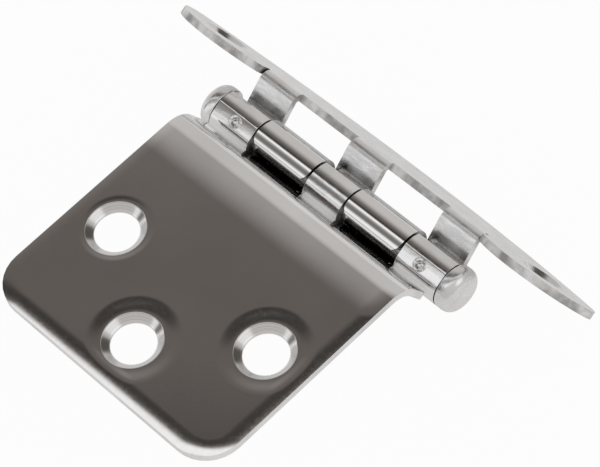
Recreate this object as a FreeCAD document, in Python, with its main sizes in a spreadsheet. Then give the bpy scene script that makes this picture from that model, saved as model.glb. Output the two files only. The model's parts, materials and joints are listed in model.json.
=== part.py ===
import FreeCAD, Part
import Sketcher
import math
import os

# Concealed cabinet hinge of polished stainless sheet, in millimetres.
# The origin is midway between the door leaf's two nearer screw holes, on the leaf's back. +X runs
# along the pin, the door leaf's face looks to +Z, and the pin lies towards +Y and below. Beyond
# it stands the frame leaf, turned back from upright. Each piece is drawn about the pin's axis
# and then placed.

DIMENSIONS = {
    "plate": 1.0,              # thickness of both leaves
    "pin_radius": 1.97,
    "frame_bore": 2.0,         # inner radius of the frame leaf's knuckles
    "door_bore": 2.05,         # inner radius of the door leaf's knuckles
    "barrel_length": 38.4,
    "knuckle_gap": 0.3,
    "middle_knuckle": 5.8,
    "door_knuckle": 9.15,
    "leaf_width": 38.1,
    "leaf_reach": 38.7,        # far edge of the door leaf from the pin's axis
    "leaf_height": 7.4,        # face of the door leaf above the pin's axis
    "leaf_bend": 4.0,          # outer radius of the door leaf's bend
    "leaf_bend_start": 8.75,   # where the flat ends, from the pin's axis
    "notch_room": 0.8,         # between the frame knuckles and the door leaf's edge
    "roll_lead": 0.5,          # between the bend and the start of the knuckles' section
    "leaf_corner": 5.0,
    "hinge_corner": 1.5,
    "lip_corner": 1.0,
    "door_lip_angle": 132.0,   # where the door knuckles' free end stops
    "hole_spacing": 25.5,
    "near_holes": 23.2,        # the two holes nearer the pin
    "far_hole": 32.4,
    "screw_radius": 2.8,
    "sink_radius": 3.75,
    "sink_angle": 100.0,
    "frame_turn": 28.8,        # how far the frame leaf leans from upright
    "frame_face": 7.2,         # outer face of the frame leaf from the pin's axis
    "frame_length": 69.0,
    "window_drop": 2.1,        # edge of the strip between its tabs, below the pin's axis
    "far_drop": 13.5,          # middle of the strip's far edge, below the pin's axis
    "tip_drop": 3.8,           # centres of the strip's tips, below the pin's axis
    "tip_radius": 2.6,
    "ear_height": 2.8,         # top of the strip's ears, above the pin's axis
    "ear_radius": 9.4,
    "ear_width": 15.7,         # from the strip's end to the notch beside its outer tab
    "frame_hole_edge": 7.5,    # from the strip's end to the hole's centre
    "frame_hole_drop": 3.2,
    "frame_screw_radius": 2.3,
    "frame_sink_radius": 3.2,
    "tab_slope": 12.8,         # how far the tabs dip towards the pin
    "tab_outside": 18.4,       # outer side of the two outer tabs
    "frame_lip_angle": 25.0,   # where the frame knuckles' free end stops, in the leaf's own frame
    "knuckle_round": 0.5,
    "head_length": 2.2,
    "head_round": 1.3,
    "head_room": 0.1,
    "stake_place": 15.75,
    "stake_ring": 0.75,
    "stake_depth": 0.22,
}

# Radius of the strip's far arc, which runs smoothly into both tips.
FAR_RADIUS = ("((Dimensions.frame_length / 2 - Dimensions.tip_radius) ^ 2"
              " + (Dimensions.far_drop - Dimensions.tip_drop) ^ 2 - Dimensions.tip_radius ^ 2)"
              " / (2 * (Dimensions.far_drop - Dimensions.tip_drop - Dimensions.tip_radius))")

# How near a length or a place has to be to count as equal, and a direction's part as full.
CLOSE = 0.01
ALONG = 0.9

doc = FreeCAD.newDocument("concealed_hinge")
sheet = doc.addObject("Spreadsheet::Sheet", "Dimensions")
for row, (alias, number) in enumerate(DIMENSIONS.items(), start=1):
    sheet.set(f"A{row}", alias)
    sheet.set(f"B{row}", str(number))
    sheet.setAlias(f"B{row}", alias)
doc.recompute()


def size(alias):
    """One driving dimension, read from the sheet."""
    return float(sheet.get(alias))


def on_circle(centre, radius, degrees):
    """The point of a circle at an angle."""
    angle = math.radians(degrees)
    return (centre[0] + radius * math.cos(angle), centre[1] + radius * math.sin(angle))


def moved(point, direction, distance):
    """A point moved along a direction."""
    return (point[0] + direction[0] * distance, point[1] + direction[1] * distance)


def vector(point):
    """A sketch point as a vector."""
    return FreeCAD.Vector(point[0], point[1], 0)


def origin_plane(body, role):
    """One of a body's own origin planes."""
    return next(item for item in body.Origin.OriginFeatures if item.Role == role)


def new_sketch(body, name, role, offset=0.0):
    """An empty sketch on an origin plane, or parallel to it."""
    sketch = body.newObject("Sketcher::SketchObject", name)
    sketch.AttachmentSupport = [(origin_plane(body, role), "")]
    sketch.MapMode = "FlatFace"
    sketch.AttachmentOffset = FreeCAD.Placement(FreeCAD.Vector(0, 0, offset), FreeCAD.Rotation())
    return sketch


def line(sketch, start, end):
    """Adds a line and returns its number."""
    return sketch.addGeometry(Part.LineSegment(vector(start), vector(end)), False)


def arc(sketch, centre, radius, start, end):
    """Adds an arc that runs anticlockwise between two angles and returns its number."""
    circle = Part.Circle(vector(centre), FreeCAD.Vector(0, 0, 1), radius)
    curve = Part.ArcOfCircle(circle, math.radians(start), math.radians(end))
    return sketch.addGeometry(curve, False)


def circle(sketch, centre, radius):
    """Adds a circle and returns its number."""
    return sketch.addGeometry(Part.Circle(vector(centre), FreeCAD.Vector(0, 0, 1), radius), False)


def join(sketch, ends):
    """Joins the ends of a closed outline, each given as (piece, end) with end 1 or 2."""
    for (first, first_end), (second, second_end) in ends:
        sketch.addConstraint(Sketcher.Constraint("Coincident", first, first_end, second, second_end))


def join_tangent(sketch, ends):
    """Joins the ends of pieces that run smoothly into each other."""
    for (first, first_end), (second, second_end) in ends:
        sketch.addConstraint(Sketcher.Constraint("Tangent", first, first_end, second, second_end))


def bind(sketch, constraint, expression):
    """Adds a dimension and binds it to the sheet."""
    number = sketch.addConstraint(constraint)
    sketch.setExpression(f"Constraints[{number}]", expression)


def pad(body, name, sketch, expression, midplane=False):
    """A pad whose length is bound to the sheet."""
    feature = body.newObject("PartDesign::Pad", name)
    feature.Profile = sketch
    feature.setExpression("Length", expression)
    feature.Midplane = midplane
    doc.recompute()
    return feature


def fillet(body, name, base, edges, expression):
    """A fillet on some edges of the last feature."""
    feature = body.newObject("PartDesign::Fillet", name)
    feature.Base = (base, edges)
    feature.setExpression("Radius", expression)
    doc.recompute()
    return feature


def edges_where(feature, test):
    """Names of the straight edges of a feature whose middle and direction pass a test."""
    names = []
    for number, edge in enumerate(feature.Shape.Edges, start=1):
        if edge.Curve.TypeId != "Part::GeomLine":
            continue
        middle = edge.valueAt((edge.FirstParameter + edge.LastParameter) / 2)
        if test(middle, edge.tangentAt(edge.FirstParameter), edge.Length):
            names.append(f"Edge{number}")
    return names


def seat(body, turn=0.0):
    """Places a piece that was drawn about the pin's axis, turned about it."""
    spot = FreeCAD.Vector(0, size("near_holes"), size("plate") - size("leaf_height"))
    body.Placement = FreeCAD.Placement(spot, FreeCAD.Rotation(FreeCAD.Vector(1, 0, 0), turn))


def knuckle_places():
    """Both ends of each knuckle along the pin, for the door leaf and the frame leaf."""
    middle = size("middle_knuckle") / 2
    door_start = middle + size("knuckle_gap")
    door_end = door_start + size("door_knuckle")
    outer_start = door_end + size("knuckle_gap")
    outer_end = size("barrel_length") / 2
    door = [(-door_end, -door_start), (door_start, door_end)]
    frame = [(-outer_end, -outer_start), (-middle, middle), (outer_start, outer_end)]
    return door, frame


def neck_slope(bend_centre, bend_radius, bore):
    """Angle below the flat of the line that leaves the bend and runs in under the pin."""
    distance = math.hypot(*bend_centre)
    to_pin = math.degrees(math.atan2(-bend_centre[1], -bend_centre[0]))
    return -to_pin + math.degrees(math.asin((bend_radius + bore) / distance))


def leaf_frame():
    """Bend centre, slope and directions of the door leaf's neck."""
    centre = (-size("leaf_bend_start"), size("leaf_height") - size("leaf_bend"))
    slope = neck_slope(centre, size("leaf_bend"), size("door_bore"))
    along = on_circle((0, 0), 1.0, -slope)
    outward = on_circle((0, 0), 1.0, 90.0 - slope)
    return centre, slope, along, outward


def leaf_profile(body):
    """Section of the door leaf's plate: flat, bend and the neck as far as the knuckle notch."""
    centre, slope, along, outward = leaf_frame()
    plate = size("plate")
    outer = size("leaf_bend")
    top = size("leaf_height")
    far = -size("leaf_reach")
    ring = size("frame_bore") + plate + size("notch_room")
    neck_top = on_circle(centre, outer, 90.0 - slope)
    before_pin = neck_top[0] * along[0] + neck_top[1] * along[1]
    run = -before_pin - math.sqrt(ring ** 2 - size("door_bore") ** 2)
    end_top = moved(neck_top, along, run)
    end_low = moved(end_top, outward, -plate)
    neck_low = moved(neck_top, outward, -plate)
    sketch = new_sketch(body, "leaf_section", "YZ_Plane")
    flat_top = line(sketch, (far, top), (centre[0], top))
    bend_out = arc(sketch, centre, outer, 90.0 - slope, 90.0)
    neck_out = line(sketch, neck_top, end_top)
    end = line(sketch, end_top, end_low)
    neck_in = line(sketch, end_low, neck_low)
    bend_in = arc(sketch, centre, outer - plate, 90.0 - slope, 90.0)
    flat_low = line(sketch, (centre[0], top - plate), (far, top - plate))
    far_end = line(sketch, (far, top - plate), (far, top))
    join_tangent(sketch, [((flat_top, 2), (bend_out, 2)), ((bend_out, 1), (neck_out, 1)),
                          ((neck_in, 2), (bend_in, 1)), ((bend_in, 2), (flat_low, 1))])
    join(sketch, [((neck_out, 2), (end, 1)), ((end, 2), (neck_in, 1)),
                  ((flat_low, 2), (far_end, 1)), ((far_end, 2), (flat_top, 1)),
                  ((bend_in, 3), (bend_out, 3))])
    sketch.addConstraint(Sketcher.Constraint("Horizontal", flat_top))
    sketch.addConstraint(Sketcher.Constraint("Vertical", far_end))
    sketch.addConstraint(Sketcher.Constraint("Perpendicular", neck_out, end))
    bind(sketch, Sketcher.Constraint("DistanceY", -1, 1, flat_top, 1, top), "Dimensions.leaf_height")
    bind(sketch, Sketcher.Constraint("DistanceX", flat_top, 1, -1, 1, -far), "Dimensions.leaf_reach")
    bind(sketch, Sketcher.Constraint("DistanceX", bend_out, 3, -1, 1, -centre[0]),
         "Dimensions.leaf_bend_start")
    bind(sketch, Sketcher.Constraint("Radius", bend_out, outer), "Dimensions.leaf_bend")
    bind(sketch, Sketcher.Constraint("Radius", bend_in, outer - plate),
         "Dimensions.leaf_bend - Dimensions.plate")
    guide = circle(sketch, (0, 0), size("door_bore"))
    rim = circle(sketch, (0, 0), ring)
    for number in (guide, rim):
        sketch.toggleConstruction(number)
        sketch.addConstraint(Sketcher.Constraint("Coincident", number, 3, -1, 1))
    bind(sketch, Sketcher.Constraint("Radius", guide, size("door_bore")), "Dimensions.door_bore")
    bind(sketch, Sketcher.Constraint("Radius", rim, ring),
         "Dimensions.frame_bore + Dimensions.plate + Dimensions.notch_room")
    sketch.addConstraint(Sketcher.Constraint("Tangent", neck_out, guide))
    sketch.addConstraint(Sketcher.Constraint("PointOnObject", neck_out, 2, rim))
    return sketch


def roll_profile(body, name, offset, start_line, bore, start, sweep, lip_clockwise):
    """Section of a rolled knuckle: a short straight run into a ring that stops at its lip.

    start_line is the point where the run starts, on the side that becomes the bore, start the
    angle where the run touches the bore, sweep how far the ring goes round.
    """
    plate = size("plate")
    bore_radius = size(bore)
    touch_in = on_circle((0, 0), bore_radius, start)
    touch_out = on_circle((0, 0), bore_radius + plate, start)
    run = (touch_in[0] - start_line[0], touch_in[1] - start_line[1])
    start_low = (touch_out[0] - run[0], touch_out[1] - run[1])
    stop = start - sweep if lip_clockwise else start + sweep
    first, last = (stop, start) if lip_clockwise else (start, stop)
    start_end, stop_end = (2, 1) if lip_clockwise else (1, 2)
    sketch = new_sketch(body, name, "YZ_Plane", offset)
    run_in = line(sketch, start_line, touch_in)
    ring_in = arc(sketch, (0, 0), bore_radius, first, last)
    lip_in = on_circle((0, 0), bore_radius, stop)
    lip_out = on_circle((0, 0), bore_radius + plate, stop)
    lip = line(sketch, lip_in, lip_out)
    ring_out = arc(sketch, (0, 0), bore_radius + plate, first, last)
    run_out = line(sketch, touch_out, start_low)
    close = line(sketch, start_low, start_line)
    join_tangent(sketch, [((run_in, 2), (ring_in, start_end)), ((ring_out, start_end), (run_out, 1))])
    join(sketch, [((ring_in, stop_end), (lip, 1)), ((lip, 2), (ring_out, stop_end)),
                  ((run_out, 2), (close, 1)), ((close, 2), (run_in, 1)),
                  ((ring_in, 3), (-1, 1)), ((ring_out, 3), (-1, 1))])
    bind(sketch, Sketcher.Constraint("Radius", ring_in, bore_radius), f"Dimensions.{bore}")
    bind(sketch, Sketcher.Constraint("Radius", ring_out, bore_radius + plate),
         f"Dimensions.{bore} + Dimensions.plate")
    sketch.addConstraint(Sketcher.Constraint("Block", lip))
    sketch.addConstraint(Sketcher.Constraint("Block", close))
    return sketch


def screw_holes(body, name, face_role, offset, centres, screw, sink, cut_reversed):
    """Countersunk holes: a straight hole and a cone that narrows from the face."""
    straight = new_sketch(body, f"{name}_sketch", face_role, offset)
    for centre in centres:
        number = circle(straight, centre, size(screw))
        bind(straight, Sketcher.Constraint("Radius", number, size(screw)), f"Dimensions.{screw}")
    through = body.newObject("PartDesign::Pocket", name)
    through.Profile = straight
    through.Type = "ThroughAll"
    through.Reversed = cut_reversed
    doc.recompute()
    wide = new_sketch(body, f"{name}_sink_sketch", face_role, offset)
    for centre in centres:
        number = circle(wide, centre, size(sink))
        bind(wide, Sketcher.Constraint("Radius", number, size(sink)), f"Dimensions.{sink}")
    cone = body.newObject("PartDesign::Pocket", f"{name}_sink")
    cone.Profile = wide
    cone.setExpression("Length", f"(Dimensions.{sink} - Dimensions.{screw})"
                       " / tan(Dimensions.sink_angle / 2)")
    cone.setExpression("TaperAngle", "-Dimensions.sink_angle / 2")
    cone.Reversed = cut_reversed
    doc.recompute()
    return cone


def make_door_leaf():
    """The polished leaf: a bent plate with three screw holes and two rolled knuckles."""
    body = doc.addObject("PartDesign::Body", "door_leaf")
    body.Label = "door_leaf"
    plate_pad = pad(body, "leaf_plate", leaf_profile(body), "Dimensions.leaf_width", True)
    half = size("leaf_width") / 2
    far = -size("leaf_reach")
    plate = size("plate")
    centre, slope, along, _ = leaf_frame()
    far_corners = edges_where(
        plate_pad, lambda p, d, n: abs(p.y - far) < CLOSE and abs(d.z) > ALONG)
    last = fillet(body, "far_corners", plate_pad, far_corners, "Dimensions.leaf_corner")
    hinge_corners = edges_where(
        last, lambda p, d, n: p.y > centre[0] and abs(abs(p.x) - half) < CLOSE
        and abs(n - plate) < CLOSE)
    last = fillet(body, "hinge_corners", last, hinge_corners, "Dimensions.hinge_corner")
    neck_top = on_circle(centre, size("leaf_bend"), 90.0 - slope)
    start = moved(neck_top, along, size("roll_lead"))
    touch = 270.0 - slope
    sweep = 360.0 + size("door_lip_angle") - touch
    for number, (low, high) in enumerate(knuckle_places()[0], start=1):
        section = roll_profile(body, f"door_knuckle_{number}_section", low, start, "door_bore",
                               touch, sweep, False)
        last = pad(body, f"door_knuckle_{number}", section, "Dimensions.door_knuckle")
    lip = on_circle((0, 0), size("door_bore") + plate / 2, size("door_lip_angle"))
    lip_corners = edges_where(
        last, lambda p, d, n: math.hypot(p.y - lip[0], p.z - lip[1]) < CLOSE
        and abs(n - plate) < CLOSE)
    last = fillet(body, "lip_corners", last, lip_corners, "Dimensions.lip_corner")
    spacing = size("hole_spacing") / 2
    centres = [(-spacing, -size("near_holes")), (spacing, -size("near_holes")),
               (0, -size("far_hole"))]
    screw_holes(body, "screw_holes", "XY_Plane", size("leaf_height"), centres,
                "screw_radius", "sink_radius", False)
    seat(body)
    return body


def strip_profile(body):
    """Outline of the frame leaf's strip seen square: far arc, two tips, two ears, window edge."""
    face = size("frame_face")
    half = size("frame_length") / 2
    window = -size("window_drop")
    notch = half - size("ear_width")
    tip_radius = size("tip_radius")
    ear_radius = size("ear_radius")
    tip_place = half - tip_radius
    tip_height = -size("tip_drop")
    rise = size("far_drop") - size("tip_drop")
    far_radius = (tip_place ** 2 + rise ** 2 - tip_radius ** 2) / (2 * (rise - tip_radius))
    far_height = far_radius - size("far_drop")
    ear_height = size("ear_height") - ear_radius
    ear_place = tip_place - math.sqrt((ear_radius - tip_radius) ** 2 - (tip_height - ear_height) ** 2)
    far_turn = math.degrees(math.atan2(tip_height - far_height, tip_place))
    ear_turn = math.degrees(math.atan2(tip_height - ear_height, tip_place - ear_place))
    notch_turn = math.degrees(math.acos((notch - ear_place) / ear_radius))
    notch_height = on_circle((ear_place, ear_height), ear_radius, notch_turn)[1]

    sketch = new_sketch(body, "strip_outline", "XZ_Plane", -face)
    far = arc(sketch, (0, far_height), far_radius, 180.0 - far_turn, 360.0 + far_turn)
    edge = line(sketch, (notch, window), (-notch, window))
    sketch.addConstraint(Sketcher.Constraint("Horizontal", edge))
    sketch.addConstraint(Sketcher.Constraint("PointOnObject", far, 3, -2))
    bind(sketch, Sketcher.Constraint("Radius", far, far_radius), FAR_RADIUS)
    bind(sketch, Sketcher.Constraint("DistanceY", -1, 1, far, 3, far_height),
         f"{FAR_RADIUS} - Dimensions.far_drop")
    bind(sketch, Sketcher.Constraint("DistanceY", edge, 1, -1, 1, -window), "Dimensions.window_drop")
    for side in (1, -1):
        first, last = (1, 2) if side > 0 else (2, 1)
        turns = [side_angle(side, turn) for turn in (far_turn, ear_turn, notch_turn)]
        tip = arc(sketch, (side * tip_place, tip_height), tip_radius, *sorted(turns[:2]))
        ear = arc(sketch, (side * ear_place, ear_height), ear_radius, *sorted(turns[1:]))
        notch_side = line(sketch, (side * notch, notch_height), (side * notch, window))
        join_tangent(sketch, [((far, last), (tip, first)), ((tip, last), (ear, first))])
        join(sketch, [((ear, last), (notch_side, 1)), ((notch_side, 2), (edge, first))])
        sketch.addConstraint(Sketcher.Constraint("Vertical", notch_side))
        bind(sketch, Sketcher.Constraint("Radius", tip, tip_radius), "Dimensions.tip_radius")
        bind(sketch, Sketcher.Constraint("Radius", ear, ear_radius), "Dimensions.ear_radius")
        bind(sketch, Sketcher.Constraint("DistanceY", ear, 3, -1, 1, -ear_height),
             "Dimensions.ear_radius - Dimensions.ear_height")
        pair = (-1, 1, tip, 3) if side > 0 else (tip, 3, -1, 1)
        bind(sketch, Sketcher.Constraint("DistanceX", *pair, tip_place),
             "Dimensions.frame_length / 2 - Dimensions.tip_radius")
        pair = (-1, 1, notch_side, 2) if side > 0 else (notch_side, 2, -1, 1)
        bind(sketch, Sketcher.Constraint("DistanceX", *pair, notch),
             "Dimensions.frame_length / 2 - Dimensions.ear_width")
    return sketch


def side_angle(side, turn):
    """An angle on the right side of the outline, or its mirror on the left side."""
    return turn if side > 0 else 180.0 - turn


def tab_frame():
    """Directions of the tabs and the radius of their bend, in the frame leaf's own section."""
    slope = math.radians(size("tab_slope"))
    upward = (-math.sin(slope), math.cos(slope))
    bend = (math.sin(slope) * size("frame_face") + math.cos(slope) * size("window_drop")
            - size("frame_bore")) / (1.0 + math.sin(slope))
    touch = (size("frame_bore") * math.sin(slope), -size("frame_bore") * math.cos(slope))
    return upward, bend, touch


def tab_profile(body, name, offset):
    """Section of a tab: it bends off the strip's top and dips to the underside of the pin."""
    plate = size("plate")
    face = size("frame_face")
    window = -size("window_drop")
    upward, bend, touch = tab_frame()
    centre = (face - bend, window)
    top = moved(centre, upward, bend)
    low = moved(top, upward, -plate)
    end_low = moved(touch, upward, -plate)
    root = window - plate
    lean = 90.0 + size("tab_slope")
    sketch = new_sketch(body, name, "YZ_Plane", offset)
    face_line = line(sketch, (face, root), (face, window))
    bend_out = arc(sketch, centre, bend, 0.0, lean)
    run_out = line(sketch, top, touch)
    end = line(sketch, touch, end_low)
    run_in = line(sketch, end_low, low)
    bend_in = arc(sketch, centre, bend - plate, 0.0, lean)
    back_line = line(sketch, (face - plate, window), (face - plate, root))
    close = line(sketch, (face - plate, root), (face, root))
    join_tangent(sketch, [((face_line, 2), (bend_out, 1)), ((bend_out, 2), (run_out, 1)),
                          ((run_in, 2), (bend_in, 2)), ((bend_in, 1), (back_line, 1))])
    join(sketch, [((run_out, 2), (end, 1)), ((end, 2), (run_in, 1)), ((back_line, 2), (close, 1)),
                  ((close, 2), (face_line, 1)), ((bend_in, 3), (bend_out, 3))])
    sketch.addConstraint(Sketcher.Constraint("Vertical", face_line))
    sketch.addConstraint(Sketcher.Constraint("Perpendicular", run_out, end))
    sketch.addConstraint(Sketcher.Constraint("Horizontal", close))
    guide = circle(sketch, (0, 0), size("frame_bore"))
    sketch.toggleConstruction(guide)
    sketch.addConstraint(Sketcher.Constraint("Coincident", guide, 3, -1, 1))
    bind(sketch, Sketcher.Constraint("Radius", guide, size("frame_bore")), "Dimensions.frame_bore")
    sketch.addConstraint(Sketcher.Constraint("Tangent", run_out, 2, guide))
    sketch.addConstraint(Sketcher.Constraint("Vertical", back_line))
    bind(sketch, Sketcher.Constraint("DistanceX", -1, 1, face_line, 1, face), "Dimensions.frame_face")
    bind(sketch, Sketcher.Constraint("DistanceY", bend_out, 3, -1, 1, -window),
         "Dimensions.window_drop")
    bind(sketch, Sketcher.Constraint("Distance", end, plate), "Dimensions.plate")
    bind(sketch, Sketcher.Constraint("Distance", face_line, plate), "Dimensions.plate")
    return sketch


def make_frame_leaf():
    """The strip with ears and two screw holes, and the three tabs rolled into knuckles."""
    body = doc.addObject("PartDesign::Body", "frame_leaf")
    body.Label = "frame_leaf"
    pad(body, "strip", strip_profile(body), "Dimensions.plate")
    upward, _, touch = tab_frame()
    start = moved(touch, (upward[1], -upward[0]), size("plate"))
    angle = 270.0 + size("tab_slope")
    sweep = angle - size("frame_lip_angle")
    knuckles = knuckle_places()[1]
    outside = size("tab_outside")
    widths = ["(Dimensions.barrel_length - Dimensions.middle_knuckle) / 2 - Dimensions.door_knuckle"
              " - 2 * Dimensions.knuckle_gap",
              "Dimensions.middle_knuckle"]
    for number, (low, high) in enumerate(knuckles, start=1):
        width = widths[1] if number == 2 else widths[0]
        inset = "" if number == 2 else " - Dimensions.barrel_length / 2 + Dimensions.tab_outside"
        tab = tab_profile(body, f"tab_{number}_section", max(low, -outside))
        pad(body, f"tab_{number}", tab, width + inset)
        section = roll_profile(body, f"frame_knuckle_{number}_section", low, start, "frame_bore",
                               angle, sweep, True)
        last = pad(body, f"frame_knuckle_{number}", section, width)
    end = size("barrel_length") / 2
    outer = size("frame_bore") + size("plate")
    rims = [f"Edge{number}" for number, edge in enumerate(last.Shape.Edges, start=1)
            if edge.Curve.TypeId == "Part::GeomCircle" and abs(edge.Curve.Radius - outer) < CLOSE
            and abs(abs(edge.Curve.Center.x) - end) < CLOSE]
    fillet(body, "knuckle_rims", last, rims, "Dimensions.knuckle_round")
    place = size("frame_length") / 2 - size("frame_hole_edge")
    centres = [(-place, -size("frame_hole_drop")), (place, -size("frame_hole_drop"))]
    screw_holes(body, "frame_holes", "XZ_Plane", -size("frame_face"), centres,
                "frame_screw_radius", "frame_sink_radius", True)
    for side in (-1, 1):
        stake_mark(body, side)
    seat(body, size("frame_turn"))
    return body


def stake_mark(body, side):
    """A ring punched into an outer knuckle, which pinches it on the pin."""
    outer = size("frame_bore") + size("plate")
    place = side * size("stake_place")
    sketch = new_sketch(body, f"stake_{'left' if side < 0 else 'right'}_section", "XZ_Plane")
    ring = circle(sketch, (place + size("stake_ring"), outer), size("stake_depth"))
    bind(sketch, Sketcher.Constraint("Radius", ring, size("stake_depth")), "Dimensions.stake_depth")
    axis = line(sketch, (place, 0), (place, outer))
    sketch.toggleConstruction(axis)
    groove = body.newObject("PartDesign::Groove", f"stake_{'left' if side < 0 else 'right'}")
    groove.Profile = sketch
    groove.ReferenceAxis = (sketch, ["Axis0"])
    groove.Angle = 360.0
    doc.recompute()
    return groove


def make_pin():
    """The pin with its two button heads."""
    body = doc.addObject("PartDesign::Body", "pin")
    body.Label = "pin"
    shaft = size("pin_radius")
    head = size("frame_bore") + size("plate")
    inside = size("barrel_length") / 2 + size("head_room")
    outside = inside + size("head_length")
    edge = size("head_round")
    sketch = new_sketch(body, "pin_section", "XY_Plane")
    axis = line(sketch, (outside, 0), (-outside, 0))
    side = line(sketch, (-inside, shaft), (inside, shaft))
    joins = []
    for sign, number in ((-1, 1), (1, 2)):
        step = line(sketch, (sign * inside, shaft), (sign * inside, head))
        rim = line(sketch, (sign * inside, head), (sign * (outside - edge), head))
        turns = (90.0, 180.0) if sign < 0 else (0.0, 90.0)
        corner = arc(sketch, (sign * (outside - edge), head - edge), edge, *turns)
        cap = line(sketch, (sign * outside, head - edge), (sign * outside, 0))
        near, away = (1, 2) if sign < 0 else (2, 1)
        joins.append(((side, number), (step, 1)))
        joins.append(((step, 2), (rim, 1)))
        joins.append(((cap, 2), (axis, 3 - number)))
        join_tangent(sketch, [((rim, 2), (corner, near)), ((corner, away), (cap, 1))])
        sketch.addConstraint(Sketcher.Constraint("Vertical", step))
        sketch.addConstraint(Sketcher.Constraint("Horizontal", rim))
        sketch.addConstraint(Sketcher.Constraint("Vertical", cap))
        bind(sketch, Sketcher.Constraint("Radius", corner, edge), "Dimensions.head_round")
        pair = (step, 1, -1, 1) if sign < 0 else (-1, 1, step, 1)
        bind(sketch, Sketcher.Constraint("DistanceX", *pair, inside),
             "Dimensions.barrel_length / 2 + Dimensions.head_room")
        pair = (cap, 2, -1, 1) if sign < 0 else (-1, 1, cap, 2)
        bind(sketch, Sketcher.Constraint("DistanceX", *pair, outside),
             "Dimensions.barrel_length / 2 + Dimensions.head_room + Dimensions.head_length")
        bind(sketch, Sketcher.Constraint("DistanceY", -1, 1, rim, 1, head),
             "Dimensions.frame_bore + Dimensions.plate")
    join(sketch, joins)
    sketch.addConstraint(Sketcher.Constraint("Horizontal", side))
    bind(sketch, Sketcher.Constraint("DistanceY", -1, 1, side, 1, shaft), "Dimensions.pin_radius")
    sketch.addConstraint(Sketcher.Constraint("PointOnObject", axis, 1, -1))
    sketch.addConstraint(Sketcher.Constraint("PointOnObject", axis, 2, -1))
    turned = body.newObject("PartDesign::Revolution", "pin_turned")
    turned.Profile = sketch
    turned.ReferenceAxis = (sketch, ["H_Axis"])
    turned.Angle = 360.0
    doc.recompute()
    seat(body)
    return body


def check(nodes):
    """Stops if any object failed or a sub-part's shape is empty or broken."""
    for item in doc.Objects:
        if {"Invalid", "Error"} & set(item.State):
            raise RuntimeError(f"{item.Name} failed: {item.State}")
    for node in nodes:
        if node.Shape.isNull() or not node.Shape.isValid() or len(node.Shape.Solids) != 1:
            raise RuntimeError(f"{node.Label} is not one sound solid")


parts = [make_door_leaf(), make_frame_leaf(), make_pin()]
doc.recompute()
check(parts)
os.makedirs("parts", exist_ok=True)
for part in parts:
    part.Shape.exportStep(f"parts/{part.Label}.step")
    print(part.Label, round(part.Shape.Volume, 2), part.Shape.BoundBox)
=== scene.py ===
"""Looks of a concealed cabinet hinge of polished sheet steel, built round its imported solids."""
import json
import logging
import math
from dataclasses import dataclass, field
from enum import Enum
from typing import Callable

import bmesh
import bpy
from mathutils import Matrix, Quaternion, Vector

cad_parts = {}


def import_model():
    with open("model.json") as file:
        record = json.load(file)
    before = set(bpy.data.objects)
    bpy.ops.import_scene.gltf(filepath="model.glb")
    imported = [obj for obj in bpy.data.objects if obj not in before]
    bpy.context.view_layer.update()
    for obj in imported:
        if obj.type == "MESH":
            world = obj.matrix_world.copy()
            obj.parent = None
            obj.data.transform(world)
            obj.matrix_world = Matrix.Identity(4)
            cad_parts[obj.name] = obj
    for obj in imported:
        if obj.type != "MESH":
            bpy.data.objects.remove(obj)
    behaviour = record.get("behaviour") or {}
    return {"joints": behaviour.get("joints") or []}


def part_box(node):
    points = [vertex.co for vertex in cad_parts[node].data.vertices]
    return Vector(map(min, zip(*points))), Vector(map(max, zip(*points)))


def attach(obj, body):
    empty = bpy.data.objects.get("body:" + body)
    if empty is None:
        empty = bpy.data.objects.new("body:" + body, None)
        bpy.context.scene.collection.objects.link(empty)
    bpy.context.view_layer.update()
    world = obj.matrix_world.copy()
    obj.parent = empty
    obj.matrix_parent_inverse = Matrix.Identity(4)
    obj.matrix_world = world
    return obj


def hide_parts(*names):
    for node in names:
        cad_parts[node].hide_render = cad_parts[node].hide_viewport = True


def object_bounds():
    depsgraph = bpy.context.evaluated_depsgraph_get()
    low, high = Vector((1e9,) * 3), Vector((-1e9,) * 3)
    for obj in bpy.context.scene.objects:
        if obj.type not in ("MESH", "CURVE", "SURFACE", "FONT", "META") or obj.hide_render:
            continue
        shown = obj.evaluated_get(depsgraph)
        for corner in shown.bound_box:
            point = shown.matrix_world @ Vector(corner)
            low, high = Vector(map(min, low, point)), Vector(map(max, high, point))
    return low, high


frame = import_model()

logging.basicConfig(level=logging.INFO, format="%(message)s")
LOG = logging.getLogger("hinge")

MM = 0.001
PLATE = 1.0 * MM
DOOR_BORE = 2.05 * MM
FRAME_BORE = 2.0 * MM
KNUCKLE_GAP = 0.3 * MM
MIDDLE_KNUCKLE = 5.8 * MM
DOOR_KNUCKLE = 9.15 * MM
BARREL = 38.4 * MM
KNUCKLE = FRAME_BORE + PLATE
STAKE_PLACE = 15.75 * MM

# How near two lengths in metres have to be to count as equal, to be merged or cut as one, and to
# lie on the same run of a path. Then how upright the normal of a level face is at least.
CLOSE = 1e-6
MERGED = 1e-7
SAME_RUN = 1e-9
LEVEL = 0.999

# The direction straight down in a section, in degrees.
DOWN = 270.0

# How finely round stretches are divided: degrees between the cuts of a bend, points round a hole,
# and parts of a rounded rim of the face, of the other rims and of the sinks.
BEND_STEP = 4.0
HOLE_PARTS = 64
FACE_PARTS = 5
REST_PARTS = 3
SINK_PARTS = 2

# Radius of the narrow rims and of the sinks' edges, and the angle in radians of a sharp edge.
REST_ROUND = 0.26 * MM
SINK_ROUND = 0.07 * MM
SHARP = 0.6

CAD_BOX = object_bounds()
LEAF_LOW, LEAF_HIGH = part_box("door_leaf")
STRIP_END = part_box("frame_leaf")[1].x
PIN_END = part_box("pin")[1].x
PIN_Y = frame["joints"][0]["pos_m"][1]
PIN_Z = frame["joints"][0]["pos_m"][2]
PIN = Vector((0.0, PIN_Y, PIN_Z))

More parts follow.
